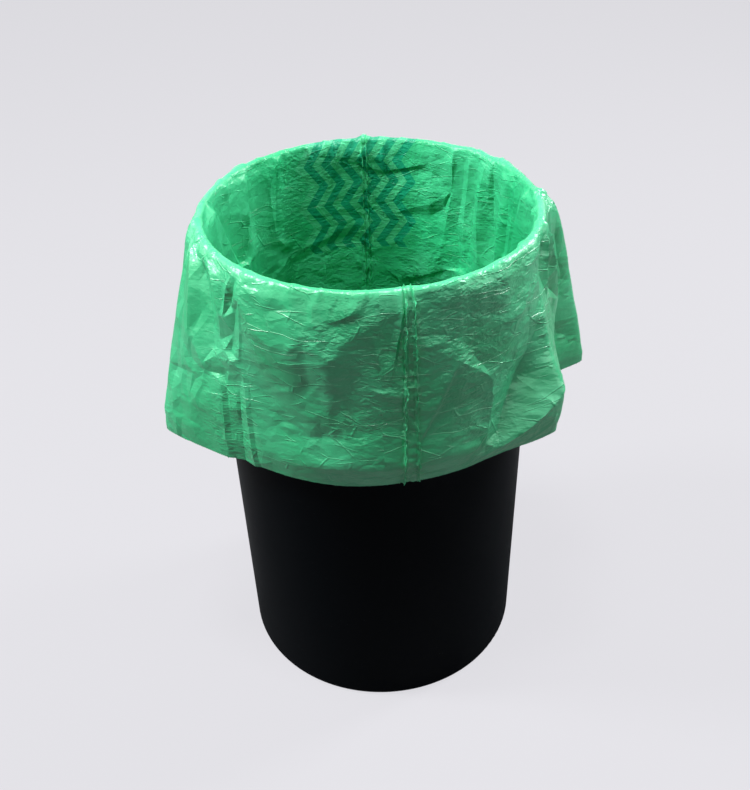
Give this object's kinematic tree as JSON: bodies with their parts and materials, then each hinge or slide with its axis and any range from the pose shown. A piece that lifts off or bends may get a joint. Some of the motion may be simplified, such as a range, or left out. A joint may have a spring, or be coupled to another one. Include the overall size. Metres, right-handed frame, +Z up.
{
  "type": "lined waste bin",
  "caption": "Round black waste bin with straight sides, lined with a green film bag that turns over the rim and hangs down outside as a loose cuff with a zigzag print.",
  "frame": {"origin": "centre of the bin's flat underside", "axes": "+Z up along the bin's axis, -Y towards the front, which is the side with the bag's visible folded-edge crease, and +X to the right of that side"},
  "size_m": [0.3885, 0.3219, 0.4913],
  "materials": {
    "bin": "satin near-black moulded plastic with faint dust",
    "film": "thin translucent green film, finely creased, with a printed zigzag of darker and paler green"
  },
  "bodies": {
    "root": {"waste_bin": "bin", "bin_bag": "film"}
  },
  "joints": []
}
